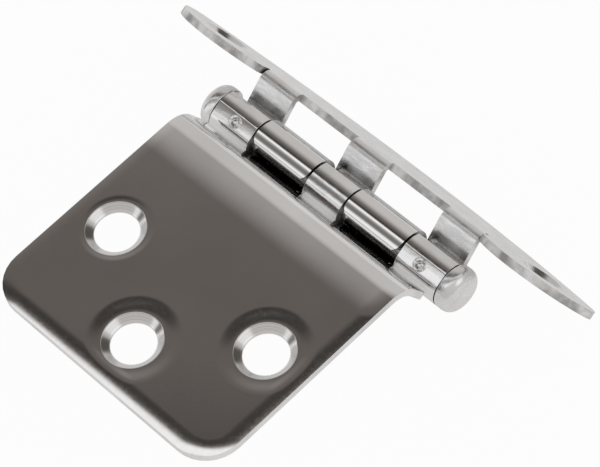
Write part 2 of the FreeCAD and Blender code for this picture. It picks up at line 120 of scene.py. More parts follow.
# The photograph's viewpoint: place and aim, roll in degrees, lens, sensor width and clipping.
CAMERA_PLACE = Vector((165.42, -117.234, 304.308)) * MM + PIN
CAMERA_AIM = Vector((0.492, -6.658, 0.0)) * MM + PIN
CAMERA_ROLL = -13.0846
CAMERA_LENS = 181.307
CAMERA_SENSOR = 36.0
CAMERA_CLIP = (0.01, 10.0)

# The floor: its gap under the object, its half width in metres, its paint, and how much of it is
# plain white where it is seen straight and where the metal mirrors it.
FLOOR_GAP = 0.2 * MM
FLOOR_REACH = 3.0
FLOOR_PAINT = 0.9
FLOOR_SEEN = 0.96
FLOOR_MIRRORED = 0.43

# Painted shade in the crevices and gaps between the parts: how far it reaches, how much it darkens, in
# the turned sinks too, how open a place is where it is full and where it ends, and how many samples
# measure that.
CREVICE_REACH = 1.6 * MM
CREVICE_SHADE = 0.75
TURNED_SHADE = 0.2
CREVICE_OPEN = (0.15, 0.75)
CREVICE_SAMPLES = 6

# The knuckles are rubbed smoother than the rest: how far out, in knuckle radii, and what share of
# the roughness is left there.
RUBBED_REACH = 1.6
RUBBED_SHARE = 0.4


class Shine(Enum):
    """The finishes the object shows."""

    POLISHED = "polished_steel"
    SATIN = "satin_steel"
    SHEARED = "sheared_edge"
    SINK = "turned_steel"
    HEAD = "head_steel"


class Layer(Enum):
    """Material slots of a sheet piece, in their order."""

    FACE = 0
    EDGE = 1
    SINK = 2


@dataclass(frozen=True)
class Metal:
    """How one metal surface looks.

    Args:
        tint: colour of the clean metal.
        shade: colour it drifts to in patches.
        rough: lowest and highest roughness.
        patch: patches of colour per metre.
        grain: grain marks per metre along each axis.
        relief: height of the grain in metres.
    """

    tint: tuple[float, float, float]
    shade: tuple[float, float, float]
    rough: tuple[float, float]
    patch: float
    grain: tuple[float, float, float]
    relief: float


METALS = {
    Shine.POLISHED: Metal((0.86, 0.852, 0.845), (0.80, 0.792, 0.785), (0.05, 0.09), 90.0,
                          (2200.0, 2200.0, 2200.0), 0.0000006),
    Shine.SATIN: Metal((0.86, 0.858, 0.86), (0.78, 0.777, 0.773), (0.24, 0.34), 260.0,
                       (700.0, 2600.0, 2600.0), 0.000010),
    Shine.HEAD: Metal((0.90, 0.895, 0.89), (0.76, 0.752, 0.745), (0.20, 0.30), 300.0,
                      (900.0, 2200.0, 2200.0), 0.000003),
    Shine.SHEARED: Metal((0.95, 0.947, 0.945), (0.46, 0.452, 0.445), (0.42, 0.62), 420.0,
                         (3200.0, 500.0, 500.0), 0.000030),
    Shine.SINK: Metal((0.93, 0.93, 0.93), (0.56, 0.55, 0.54), (0.12, 0.22), 500.0,
                      (4500.0, 4500.0, 4500.0), 0.000020),
}


@dataclass
class Graph:
    """A small helper that adds and links shader nodes."""

    tree: bpy.types.NodeTree

    def add(self, kind: str, **values) -> bpy.types.Node:
        """Adds a node and sets its properties."""
        node = self.tree.nodes.new(kind)
        for key, value in values.items():
            setattr(node, key, value)
        return node

    def link(self, source, target) -> None:
        """Links two sockets."""
        self.tree.links.new(source, target)

    def noise(self, vector, scale: float, detail: float = 3.0):
        """A noise texture's value, sampled at a vector."""
        node = self.add("ShaderNodeTexNoise")
        node.inputs["Scale"].default_value = scale
        node.inputs["Detail"].default_value = detail
        self.link(vector, node.inputs["Vector"])
        return node.outputs["Fac"]

    def maths(self, operation: str, first, second=None):
        """A math node's value; its inputs are sockets or plain numbers."""
        node = self.add("ShaderNodeMath", operation=operation)
        for entry, slot in zip((first, second), node.inputs):
            if isinstance(entry, (int, float)):
                slot.default_value = entry
            elif entry is not None:
                self.link(entry, slot)
        return node.outputs["Value"]

    def soft_step(self, value, start: float, stop: float, low: float, high: float):
        """Goes smoothly from low to high while the value goes from start to stop."""
        node = self.add("ShaderNodeMapRange", interpolation_type="SMOOTHSTEP")
        self.link(value, node.inputs["Value"])
        node.inputs["From Min"].default_value = start
        node.inputs["From Max"].default_value = stop
        node.inputs["To Min"].default_value = low
        node.inputs["To Max"].default_value = high
        return node.outputs["Result"]

    def spread(self, value, low: float, high: float, start: float = 0.35, stop: float = 0.65):
        """Maps a value's middle range to low..high."""
        node = self.add("ShaderNodeMapRange")
        self.link(value, node.inputs["Value"])
        node.inputs["From Min"].default_value = start
        node.inputs["From Max"].default_value = stop
        node.inputs["To Min"].default_value = low
        node.inputs["To Max"].default_value = high
        return node.outputs["Result"]


def metal_material(shine: Shine) -> bpy.types.Material:
    """Builds the procedural material of one finish, with painted shade darkening its crevices.

    Args:
        shine: which finish to build.

    Returns:
        The new material.
    """
    metal = METALS[shine]
    material = bpy.data.materials.new(shine.value)
    material.use_nodes = True
    graph = Graph(material.node_tree)
    shader = material.node_tree.nodes["Principled BSDF"]
    shader.inputs["Metallic"].default_value = 1.0
    place = graph.add("ShaderNodeTexCoord").outputs["Object"]
    stretch = graph.add("ShaderNodeMapping")
    stretch.inputs["Scale"].default_value = metal.grain
    graph.link(turned_rings(graph, place) if shine is Shine.SINK else place, stretch.inputs["Vector"])
    grain = graph.noise(stretch.outputs["Vector"], scale=1.0, detail=4.0)
    patches = grain if shine is Shine.SINK else graph.noise(place, metal.patch)
    tint = graph.add("ShaderNodeMix", data_type="RGBA")
    tint.inputs["A"].default_value = (*metal.shade, 1.0)
    tint.inputs["B"].default_value = (*metal.tint, 1.0)
    graph.link(graph.spread(patches, 0.0, 1.0), tint.inputs["Factor"])
    # Painted shade: the colour is darkened where the surface is closed in, in crevices, gaps and hollows
    # between the parts.
    crevice = graph.add("ShaderNodeAmbientOcclusion", samples=CREVICE_SAMPLES)
    crevice.inputs["Distance"].default_value = CREVICE_REACH
    graph.link(tint.outputs["Result"], crevice.inputs["Color"])
    painted_shade = graph.add("ShaderNodeMix", data_type="RGBA", blend_type="MULTIPLY")
    painted_shade.inputs["Factor"].default_value = TURNED_SHADE if shine is Shine.SINK else CREVICE_SHADE
    graph.link(tint.outputs["Result"], painted_shade.inputs["A"])
    graph.link(graph.soft_step(crevice.outputs["AO"], *CREVICE_OPEN, 0.0, 1.0), painted_shade.inputs["B"])
    graph.link(painted_shade.outputs["Result"], shader.inputs["Base Color"])
    rough = graph.spread(grain, *metal.rough)
    if shine is Shine.SATIN:
        rough = graph.maths("MULTIPLY", rough, rubbed_knuckles(graph, place))
    graph.link(rough, shader.inputs["Roughness"])
    bump = graph.add("ShaderNodeBump")
    bump.inputs["Distance"].default_value = metal.relief
    graph.link(grain, bump.inputs["Height"])
    if shine is Shine.POLISHED:
        graph.link(buffed_relief(graph, place), bump.inputs["Normal"])
    graph.link(bump.outputs["Normal"], shader.inputs["Normal"])
    return material


def turned_rings(graph: Graph, place):
    """Coordinates that only change away from the nearest of the leaf's holes, for turned rings."""
    near = None
    for hole in DoorLeaf().hole_places():
        gap = graph.add("ShaderNodeVectorMath", operation="DISTANCE")
        graph.link(place, gap.inputs[0])
        gap.inputs[1].default_value = (*hole, LEAF_HIGH.z)
        near = graph.maths("MINIMUM", near, gap.outputs["Value"]) if near else gap.outputs["Value"]
    rings = graph.add("ShaderNodeCombineXYZ")
    graph.link(near, rings.inputs["X"])
    return rings.outputs["Vector"]


def rubbed_knuckles(graph: Graph, place):
    """A share of the roughness that is low on the knuckles and rises away from the pin."""
    radial = graph.add("ShaderNodeVectorMath", operation="MULTIPLY")
    graph.link(place, radial.inputs[0])
    radial.inputs[1].default_value = (0.0, 1.0, 1.0)
    gap = graph.add("ShaderNodeVectorMath", operation="DISTANCE")
    graph.link(radial.outputs["Vector"], gap.inputs[0])
    gap.inputs[1].default_value = PIN
    return graph.soft_step(gap.outputs["Value"], KNUCKLE, KNUCKLE * RUBBED_REACH, RUBBED_SHARE, 1.0)


def buffed_relief(graph: Graph, place):
    """The slight roll-off that buffing gives the leaf at its rim, its holes and before its bend.

    Args:
        graph: the material's graph.
        place: the Object coordinates.

    Returns:
        The socket with the bent normals.
    """
    leaf = DoorLeaf()
    flat = graph.add("ShaderNodeSeparateXYZ")
    graph.link(place, flat.inputs["Vector"])
    across = graph.maths("ABSOLUTE", flat.outputs["X"])
    beside = graph.maths("SUBTRACT", across, LEAF_HIGH.x - leaf.corner)
    beyond = graph.maths("SUBTRACT", LEAF_LOW.y + leaf.corner, flat.outputs["Y"])
    past_side = graph.maths("MAXIMUM", beside, 0.0)
    past_far = graph.maths("MAXIMUM", beyond, 0.0)
    share = graph.soft_step(flat.outputs["X"], LEAF_LOW.x, LEAF_HIGH.x, *leaf.side_shares)
    side = graph.maths("POWER", graph.maths("MULTIPLY", past_side, share), 2.0)
    out = graph.maths("SQRT", graph.maths("ADD", side, graph.maths("POWER", past_far, 2.0)))
    into = graph.maths("MAXIMUM", graph.maths("SUBTRACT", out, leaf.corner - leaf.rim_roll), 0.0)
    steep = -leaf.rim_slope / leaf.rim_roll / 2
    height = graph.maths("MULTIPLY", graph.maths("POWER", into, 2.0), steep)
    start, stop = (leaf.corner - leaf.rim_roll * reach for reach in leaf.dish_fade)
    inside = graph.soft_step(out, start, stop, 1.0, 0.0)
    for hole, (dish, width) in zip(leaf.hole_places(), leaf.dishes):
        gap = graph.add("ShaderNodeVectorMath", operation="DISTANCE")
        graph.link(place, gap.inputs[0])
        gap.inputs[1].default_value = (hole[0], hole[1] + leaf.dish_shift, LEAF_HIGH.z)
        dip = graph.soft_step(gap.outputs["Value"], leaf.sink, leaf.sink + width, -dish, 0.0)
        height = graph.maths("ADD", height, graph.maths("MULTIPLY", dip, inside))
    bend = PIN_Y - leaf.bend_start
    lead = graph.soft_step(flat.outputs["Y"], bend - leaf.lead, bend + leaf.bend, 0.0, -leaf.lead_drop)
    bump = graph.add("ShaderNodeBump")
    bump.inputs["Distance"].default_value = 1.0
    graph.link(graph.maths("ADD", height, lead), bump.inputs["Height"])
    return bump.outputs["Normal"]


@dataclass
class SheetPath:
    """The line that a sheet's face follows in section, as (y, z) from the pin's axis.

    Args:
        spot: where it starts.
        heading: direction it starts in, in degrees from +Y towards +Z.
        side: 1 where the face looks left of the direction, -1 where it looks right.
    """

    spot: tuple[float, float]
    heading: float
    side: int
    runs: list[tuple[float, float, float, tuple[float, float], float]] = field(default_factory=list)
    length: float = 0.0

    def straight(self, length: float) -> None:
        """Adds a straight run."""
        turned = math.radians(self.heading)
        self.runs.append((self.length, length, 0.0, self.spot, self.heading))
        self.spot = (self.spot[0] + length * math.cos(turned), self.spot[1] + length * math.sin(turned))
        self.length += length

    def bend(self, radius: float, turn: float) -> None:
        """Adds a bend, whose turn in degrees is positive to the left."""
        length = radius * math.radians(abs(turn))
        self.runs.append((self.length, length, math.copysign(radius, turn), self.spot, self.heading))
        self.spot, self.heading = self._along(self.runs[-1], length)
        self.length += length

    @staticmethod
    def _along(run, distance: float) -> tuple[tuple[float, float], float]:
        """The point and heading at a distance into a run."""
        _, _, radius, spot, heading = run
        start = math.radians(heading)
        if radius == 0.0:
            return (spot[0] + distance * math.cos(start), spot[1] + distance * math.sin(start)), heading
        end = start + distance / radius
        centre = (spot[0] - radius * math.sin(start), spot[1] + radius * math.cos(start))
        point = (centre[0] + radius * math.sin(end), centre[1] - radius * math.cos(end))
        return point, math.degrees(end)

    def place(self, along: float, depth: float) -> tuple[float, float, float]:
        """The point at a distance along and a depth under the face, and the way the face looks."""
        reached = [run for run in self.runs if along >= run[0] - SAME_RUN]
        run = reached[-1] if reached else self.runs[0]
        point, heading = self._along(run, along - run[0])
        out = math.radians(heading + 90.0 * self.side)
        return point[0] - depth * math.cos(out), point[1] - depth * math.sin(out), out

    def cuts(self, step: float) -> list[float]:
        """Distances at which the bends are divided, every step degrees, and their ends."""
        marks = []
        for start, length, radius, _, _ in self.runs:
            if radius == 0.0:
                continue
            parts = max(2, round(math.degrees(length / abs(radius)) / step))
            marks += [start + length * k / parts for k in range(parts + 1)]
        return [mark for mark in marks if 0.0 < mark < self.length - MERGED]


def arc_points(centre, radius: float, start: float, stop: float, parts: int):
    """Points of an arc between two angles in degrees, ends included."""
    angles = [math.radians(start + (stop - start) * k / parts) for k in range(parts + 1)]
    return [(centre[0] + radius * math.cos(a), centre[1] + radius * math.sin(a)) for a in angles]


def rounded(corners, parts: int = 8):
    """An outline whose corners, given as (x, y, radius), are rounded by arcs."""
    points = []
    count = len(corners)
    for k, (x, y, radius) in enumerate(corners):
        here = Vector((x, y))
        if radius == 0.0:
            points.append((x, y))
            continue
        before = (Vector(corners[k - 1][:2]) - here).normalized()
        after = (Vector(corners[(k + 1) % count][:2]) - here).normalized()
        half = before.angle(after) / 2
        centre = here + (before + after).normalized() * (radius / math.sin(half))
        start = here + before * (radius / math.tan(half)) - centre
        stop = here + after * (radius / math.tan(half)) - centre
        turn = start.angle_signed(stop)
        for n in range(parts + 1):
            angle = -turn * n / parts
            points.append(tuple(centre + Matrix.Rotation(angle, 2) @ start))
    return points


@dataclass(frozen=True)
class PressedFlat:
    """A flat pressed into the outer side of the outer knuckles.

    Args:
        beyond: distance along the blank and across it where the knuckles begin.
        height: how high the flat lies over the pin's axis, before the leaf leans.
        keep: share of the old curve that stays in the flat.
    """

    beyond: tuple[float, float]
    height: float
    keep: float = 0.2

    def press(self, across: float, along: float, depth: float, spot):
        """Lowers a point of the outer side to the flat and turns its normal with it."""
        y, z, out = spot
        if along < self.beyond[0] or abs(across) < self.beyond[1] or depth < PLATE / 2 or z < self.height:
            return spot
        down = math.radians(DOWN)
        out = math.remainder(out - down, 2 * math.pi) * self.keep + down
        return y, self.height + (z - self.height) * self.keep, out


@dataclass
class SheetPiece:
    """A leaf of the hinge: a flat blank with holes, bent and rolled along a path.

    Args:
        name: the piece's name.
        node: the solid it stands for.
        body: the body it rides on.
        shine: finish of its faces.
        edge: finish of its cut walls.
        outline: the blank's outline as (x, distance along the path).
        holes: hole centres on the blank.
        sink: a hole's radius at the face and at the back.
        sink_depth: how deep the holes' slanted walls go.
        path: the line its face follows.
        bends_at: whether the sheet at an x and a distance along follows the bends there.
        turn: how far the whole section leans about the pin, in degrees.
        face_round: radius of the face's own rim.
        round_until: distance along the path at which that wider rim ends.
        pressed: the flat in the outer knuckles, if there is one.
    """

    name: str
    node: str
    body: str
    shine: Shine
    edge: Shine
    outline: list[tuple[float, float]]
    holes: list[tuple[float, float]]
    sink: tuple[float, float]
    sink_depth: float
    path: SheetPath
    bends_at: Callable[[float, float], bool]
    turn: float
    face_round: float
    round_until: float
    pressed: "PressedFlat | None" = None

    def build(self, materials: dict[Shine, bpy.types.Material]) -> None:
        """Makes the mesh, finishes its edges and hands it over to the frame.

        Args:
            materials: the finishes by name.
        """
        blank = self._blank()
        depth = blank.verts.layers.float.new("depth")
        self._thicken(blank, depth)
        self._shape_holes(blank, depth)
        self._round_edges(blank, depth)
        normals = self._bend(blank)
        shines = (self.shine, self.edge, Shine.SINK)
        piece = new_piece(self.name, blank, [materials[shine] for shine in shines])
        piece.data.normals_split_custom_set_from_vertices(normals)
        hand_over(piece, self.node, self.body)

    def _blank(self) -> bmesh.types.BMesh:
        """The flat blank, filled between its outline and holes and divided at the bends."""
        blank = bmesh.new()
        loops = [self.outline]
        loops += [arc_points(hole, self.sink[0], 0.0, 360.0, HOLE_PARTS)[:-1] for hole in self.holes]
        edges = []
        for loop in loops:
            verts = [blank.verts.new((x, y, 0.0)) for x, y in loop]
            edges += [blank.edges.new((verts[k - 1], verts[k])) for k in range(len(verts))]
        bmesh.ops.triangle_fill(blank, edges=edges, use_beauty=True, use_dissolve=False)
        for cut in self.path.cuts(BEND_STEP):
            faces = [face for face in blank.faces if self.bends_at(*face.calc_center_median().xy)]
            near = [face for face in faces
                    if min(v.co.y for v in face.verts) <= cut <= max(v.co.y for v in face.verts)]
            geometry = near + list({e for f in near for e in f.edges})
            geometry += list({v for f in near for v in f.verts})
            bmesh.ops.bisect_plane(blank, geom=geometry, dist=MERGED, plane_co=(0, cut, 0),
                                   plane_no=(0, 1, 0))
        bmesh.ops.recalc_face_normals(blank, faces=blank.faces)
        if sum(face.normal.z for face in blank.faces) < 0:
            bmesh.ops.reverse_faces(blank, faces=blank.faces)
        return blank

    def _thicken(self, blank, depth) -> None:
        """Gives the blank its thickness and marks the sheared walls."""
        made = bmesh.ops.extrude_face_region(blank, geom=blank.faces[:], use_keep_orig=True)
        for item in made["geom"]:
            if isinstance(item, bmesh.types.BMVert):
                item[depth] = PLATE
                item.co.z = -PLATE
        bmesh.ops.recalc_face_normals(blank, faces=blank.faces)
        for face in blank.faces:
            levels = {round(v[depth] / PLATE) for v in face.verts}
            face.material_index = Layer.EDGE.value if len(levels) > 1 else Layer.FACE.value

    def _shape_holes(self, blank, depth) -> None:
        """Narrows each hole from the face down and puts its short straight wall in."""
        for hole in self.holes:
            ring = self._hole_ring(blank, hole)
            walls = {f for v in ring for f in v.link_faces if f.material_index == Layer.EDGE.value}
            posts = {e for f in walls for e in f.edges
                     if abs(e.verts[0][depth] - e.verts[1][depth]) > PLATE / 2}
            bmesh.ops.subdivide_edges(blank, edges=list(posts), cuts=1)
            wall = self._hole_ring(blank, hole)
            middle = [v for v in wall if abs(v.co.z + PLATE / 2) < CLOSE]
            for vert in middle:
                vert[depth] = self.sink_depth
                vert.co.z = -self.sink_depth
            for vert in wall:
                if vert.co.z < -CLOSE:
                    spoke = (vert.co.xy - Vector(hole)).normalized() * self.sink[1]
                    vert.co.xy = Vector(hole) + spoke
            for face in {f for v in middle for f in v.link_faces}:
                face.material_index = Layer.SINK.value

    def _hole_ring(self, blank, hole) -> list[bmesh.types.BMVert]:
        """The points of the blank on a hole's rim."""
        return [v for v in blank.verts if abs((v.co.xy - Vector(hole)).length - self.sink[0]) < CLOSE]

    def _round_edges(self, blank, depth) -> None:
        """Rounds the rims: wide on the face's own rim, narrow at the back and the knuckles."""
        blank.normal_update()
        sharp = [e for e in blank.edges if len(e.link_faces) == 2 and e.calc_face_angle(0.0) > SHARP]
        sinks = [e for e in sharp
                 if any(f.material_index == Layer.SINK.value for f in e.link_faces)]
        rims = [e for e in sharp if e not in set(sinks)]
        face = [e for e in rims if max(v[depth] for v in e.verts) < CLOSE
                and max(v.co.y for v in e.verts) < self.round_until - CLOSE]
        rest = [e for e in rims if e not in set(face)]
        for edges, offset, segments in ((face, self.face_round, FACE_PARTS),
                                        (rest, REST_ROUND, REST_PARTS),
                                        (sinks, SINK_ROUND, SINK_PARTS)):
            live = [e for e in edges if e.is_valid]
            bmesh.ops.bevel(blank, geom=live, offset=offset, segments=segments, profile=0.5,
                            affect="EDGES", clamp_overlap=True, material=-1)

    def _bend(self, blank) -> list[Vector]:
        """Carries every point of the blank to its place on the bent sheet.

        Returns:
            The normal of each point: the sheet's own on its two faces, the widest wall's elsewhere.
        """
        lean = Matrix.Rotation(math.radians(self.turn), 3, "X")
        blank.normal_update()
        level = []
        for vert in blank.verts:
            main = max(vert.link_faces, key=lambda face: (abs(face.normal.z) > LEVEL, face.calc_area()))
            level.append(round(main.normal.z) if abs(main.normal.z) > LEVEL else 0)
        outward = []
        for vert in blank.verts:
            along, depth = vert.co.y, -vert.co.z
            if self.bends_at(vert.co.x, along):
                y, z, out = self.path.place(along, depth)
                if self.pressed:
                    y, z, out = self.pressed.press(vert.co.x, along, depth, (y, z, out))
            else:
                y, z, out = self.path.place(0.0, depth)
                up = math.radians(self.path.runs[0][4])
                y, z = y + along * math.cos(up), z + along * math.sin(up)
            vert.co = lean @ Vector((vert.co.x, y, z)) + PIN
            outward.append(lean @ Vector((0.0, math.cos(out), math.sin(out))))
        if self.path.side < 0:
            bmesh.ops.reverse_faces(blank, faces=blank.faces)
        blank.normal_update()
        normals = []
        for vert, side, out in zip(blank.verts, level, outward):
            if side:
                normals.append(out * side)
            else:
                pull = sum((face.normal * face.calc_area() for face in vert.link_faces), Vector())
                normals.append(pull.normalized())
        return normals


def new_piece(name: str, form: bmesh.types.BMesh, materials) -> bpy.types.Object:
    """Puts a finished form into the scene as a smooth object."""
    mesh = bpy.data.meshes.new(name)
    form.to_mesh(mesh)
    form.free()
    for polygon in mesh.polygons:
        polygon.use_smooth = True
    for material in materials:
        mesh.materials.append(material)
    piece = bpy.data.objects.new(name, mesh)
    bpy.context.scene.collection.objects.link(piece)
    return piece


def turned_form(points, axis, steps: int) -> bmesh.types.BMesh:
    """Turns a line of points once round an axis through the origin."""
    form = bmesh.new()
    verts = [form.verts.new(point) for point in points]
    edges = [form.edges.new(pair) for pair in zip(verts, verts[1:])]
    bmesh.ops.spin(form, geom=verts + edges, cent=(0, 0, 0), axis=axis, dvec=(0, 0, 0),
                   angle=2 * math.pi, steps=steps, use_merge=True)
    bmesh.ops.remove_doubles(form, verts=form.verts, dist=MERGED)
    return form


def hand_over(piece, node: str, body: str) -> None:
    """Lets a piece stand for a solid and ride on its body."""
    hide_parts(node)
    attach(piece, body)
    LOG.info("%s stands for %s on %s", piece.name, node, body)


def neck_slope(centre, radius: float, bore: float) -> float:
    """Angle below the flat of the line from the door leaf's bend to the underside of the pin."""
    to_pin = math.atan2(-centre[1], -centre[0])
    return math.degrees(-to_pin + math.asin((radius + bore) / math.hypot(*centre)))


@dataclass(frozen=True)
class DoorLeaf:
    """The polished leaf with its three screw holes and two rolled knuckles.

    Args:
        bend: radius of the bend before the knuckles, on the face.
        bend_start: distance from the pin's axis at which that bend begins.
        notch_room: gap between the notches and the frame leaf's knuckles.
        corner: radius of the two far corners.
        hinge_corner: radius of the corners beside the knuckles.
        lip_corner: radius of the corners at a knuckle's free end.
        lip_angle: where a knuckle ends round the pin, in degrees from +Y towards +Z.
        near_holes: spacing of the two holes near the pin.
        far_hole: distance from their line to the third hole.
        screw: radius of a hole at the back.
        sink: radius of its sink at the face.
        sink_depth: depth of the sink.
        rim_roll: width of the roll-off that buffing gives the rim.
        rim_slope: slope of the roll-off at the rim.
        side_shares: how strongly the left and the right side roll off.
        dish_shift: how far the dishes round the holes lie off them, towards the pin.
        dish_fade: where a dish begins to fade and where it is gone, in widths of the roll-off.
        dishes: depth and width of the dish round each hole.
        lead: how far before the bend the relief begins to fall.
        lead_drop: how far it falls.
        face_round: radius of the face's rim.
    """

    bend: float = 4.0 * MM
    bend_start: float = 8.75 * MM
    notch_room: float = 0.8 * MM
    corner: float = 5.0 * MM
    hinge_corner: float = 1.5 * MM
    lip_corner: float = 1.0 * MM
    lip_angle: float = 132.0
    near_holes: float = 25.5 * MM
    far_hole: float = 9.2 * MM
    screw: float = 2.8 * MM
    sink: float = 3.75 * MM
    sink_depth: float = 0.8 * MM
    rim_roll: float = 2.5 * MM
    rim_slope: float = 0.155
    side_shares: tuple[float, float] = (0.7, 0.84)
    dish_shift: float = 0.15 * MM
    dish_fade: tuple[float, float] = (1.2, 0.4)
    dishes: tuple[tuple[float, float], ...] = ((0.036 * MM, 1.0 * MM), (0.092 * MM, 2.2 * MM),
                                               (0.098 * MM, 2.3 * MM))
    lead: float = 4.0 * MM
    lead_drop: float = 0.6 * MM
    face_round: float = 0.3 * MM

    def hole_places(self) -> list[tuple[float, float]]:
        """The hole centres in the frame, as (x, y)."""
        spacing = self.near_holes / 2
        return [(-spacing, 0.0), (spacing, 0.0), (0.0, -self.far_hole)]

    def build(self, materials) -> None:
        """Makes the leaf."""
        height = LEAF_HIGH.z - PIN_Z
        reach = PIN_Y - LEAF_LOW.y
        half = LEAF_HIGH.x
        centre = (-self.bend_start, height - self.bend)
        slope = neck_slope(centre, self.bend, DOOR_BORE)
        path = SheetPath((-reach, height), 0.0, 1)
        path.straight(reach - self.bend_start)
        path.bend(self.bend, -slope)
        neck = math.sqrt(math.hypot(*centre) ** 2 - (self.bend + DOOR_BORE) ** 2)
        notch = path.length + neck - math.sqrt((KNUCKLE + self.notch_room) ** 2 - DOOR_BORE ** 2)
        path.straight(neck)
        path.bend(DOOR_BORE, 360.0 + self.lip_angle - (DOWN - slope))
        inner = MIDDLE_KNUCKLE / 2 + KNUCKLE_GAP
        outer = inner + DOOR_KNUCKLE
        right = [(half, notch, self.hinge_corner), (outer, notch, 0.0),
                 (outer, path.length, self.lip_corner), (inner, path.length, self.lip_corner),
                 (inner, notch, 0.0)]
        left = [(-x, y, radius) for x, y, radius in reversed(right)]
        corners = [(-half, 0.0, self.corner), (half, 0.0, self.corner), *right, *left]
        holes = [(x, y - LEAF_LOW.y) for x, y in self.hole_places()]
        leaf = SheetPiece("polished_leaf", "door_leaf", "door", shine=Shine.POLISHED, edge=Shine.HEAD,
                          outline=rounded(corners), holes=holes, sink=(self.sink, self.screw),
                          sink_depth=self.sink_depth, path=path, bends_at=lambda x, y: True, turn=0.0,
                          face_round=self.face_round, round_until=notch)
        leaf.build(materials)


@dataclass(frozen=True)
class FrameLeaf:
    """The strip with two ears and three tabs rolled round the pin, drawn before it leans.

    Args:
        lean: how far the leaf leans about the pin, in degrees.
        face: distance of its face from the pin's axis.
        window_drop: how far under the axis the tabs begin.
        far_drop: how far under the axis the far edge is.
        tip_drop: how far under the axis the centres of the ears' tips are.
        tip_radius: radius of the tips.
        ear_height: how far over the axis the ears reach.
        ear_radius: radius of the ears' upper edge.
        notch: where the ears end beside the tabs, along the pin.
        hole_place: where the holes are along the pin.
        hole_drop: how far under the axis the holes are.
        screw: radius of a hole at the back.
        sink: radius of its sink at the face.
        sink_depth: depth of the sink.
        tab_slope: slope of the tabs towards the pin, in degrees.
        tab_outside: where the outer tabs end along the pin, before they get wider.
        lip_angle: where a knuckle ends round the pin, in degrees from +Y towards +Z.
        shoulder: how far before the knuckles the outer tabs get wider.
        flat: depth of the flat pressed into the outer knuckles.
        face_round: radius of the face's rim.
        arc_parts: parts of the far edge's and the ears' arcs.
        tip_parts: parts of a tip's arc.
    """

    lean: float = 28.8
    face: float = 7.2 * MM
    window_drop: float = 2.1 * MM
    far_drop: float = 13.5 * MM
    tip_drop: float = 3.8 * MM
    tip_radius: float = 2.6 * MM
    ear_height: float = 2.8 * MM
    ear_radius: float = 9.4 * MM
    notch: float = 18.8 * MM
    hole_place: float = 27.0 * MM
    hole_drop: float = 3.2 * MM
    screw: float = 2.3 * MM
    sink: float = 3.2 * MM
    sink_depth: float = 0.755 * MM
    tab_slope: float = 12.8
    tab_outside: float = 18.4 * MM
    lip_angle: float = 25.0
    shoulder: float = 1.0 * MM
    flat: float = 0.18 * MM
    face_round: float = 0.16 * MM
    arc_parts: int = 24
    tip_parts: int = 20

    def build(self, materials) -> None:
        """Makes the leaf."""
        slope = math.radians(self.tab_slope)
        bend = (math.sin(slope) * self.face + math.cos(slope) * self.window_drop - FRAME_BORE) \
            / (1.0 + math.sin(slope))
        path = SheetPath((self.face, -self.far_drop), 90.0, -1)
        path.straight(self.far_drop - self.window_drop)
        window = path.length
        path.bend(bend, 90.0 + self.tab_slope)
        top = (self.face - bend - bend * math.sin(slope), -self.window_drop + bend * math.cos(slope))
        path.straight(math.hypot(top[0] - FRAME_BORE * math.sin(slope),
                                 top[1] + FRAME_BORE * math.cos(slope)))
        touch = path.length
        path.bend(FRAME_BORE, -(DOWN + self.tab_slope - self.lip_angle))
        shoulder = touch - self.shoulder
        outline = self._outline(window, shoulder, path.length)
        row = self.far_drop - self.hole_drop
        holes = [(-self.hole_place, row), (self.hole_place, row)]
        strip = SheetPiece("boat_strip", "frame_leaf", "frame", shine=Shine.SATIN, edge=Shine.SHEARED,
                           outline=outline, holes=holes, sink=(self.sink, self.screw),
                           sink_depth=self.sink_depth, path=path,
                           bends_at=lambda x, y: abs(x) < self.notch - CLOSE or y > shoulder - CLOSE,
                           turn=self.lean, face_round=self.face_round, round_until=math.inf,
                           pressed=PressedFlat((touch, DOOR_KNUCKLE), KNUCKLE - self.flat))
        strip.build(materials)

    def _outline(self, window: float, shoulder: float, end: float) -> list[tuple[float, float]]:
        """The strip's blank with its tongues, distances counted up from its far edge."""
        tip_x = STRIP_END - self.tip_radius
        tip_y = self.far_drop - self.tip_drop
        far = (tip_x ** 2 + tip_y ** 2 - self.tip_radius ** 2) / (2 * (tip_y - self.tip_radius))
        ear_y = self.far_drop + self.ear_height - self.ear_radius
        ear_x = tip_x - math.sqrt((self.ear_radius - self.tip_radius) ** 2 - (tip_y - ear_y) ** 2)
        far_turn = math.degrees(math.atan2(tip_y - far, tip_x))
        ear_turn = math.degrees(math.atan2(tip_y - ear_y, tip_x - ear_x))
        notch_turn = math.degrees(math.acos((self.notch - ear_x) / self.ear_radius))
        right = arc_points((0.0, far), far, DOWN, 360.0 + far_turn, self.arc_parts)[1:]
        right += arc_points((tip_x, tip_y), self.tip_radius, far_turn, ear_turn, self.tip_parts)[1:]
        right += arc_points((ear_x, ear_y), self.ear_radius, ear_turn, notch_turn, self.arc_parts)[1:]
        middle = MIDDLE_KNUCKLE / 2
        inside = middle + DOOR_KNUCKLE + 2 * KNUCKLE_GAP
        outside = BARREL / 2
        right += [(self.notch, window), (self.tab_outside, window), (self.tab_outside, shoulder),
                  (outside, shoulder), (outside, end), (inside, end), (inside, window),
                  (middle, window), (middle, end)]
        left = [(-x, y) for x, y in reversed(right)]
        return [(0.0, 0.0), *right, *left]


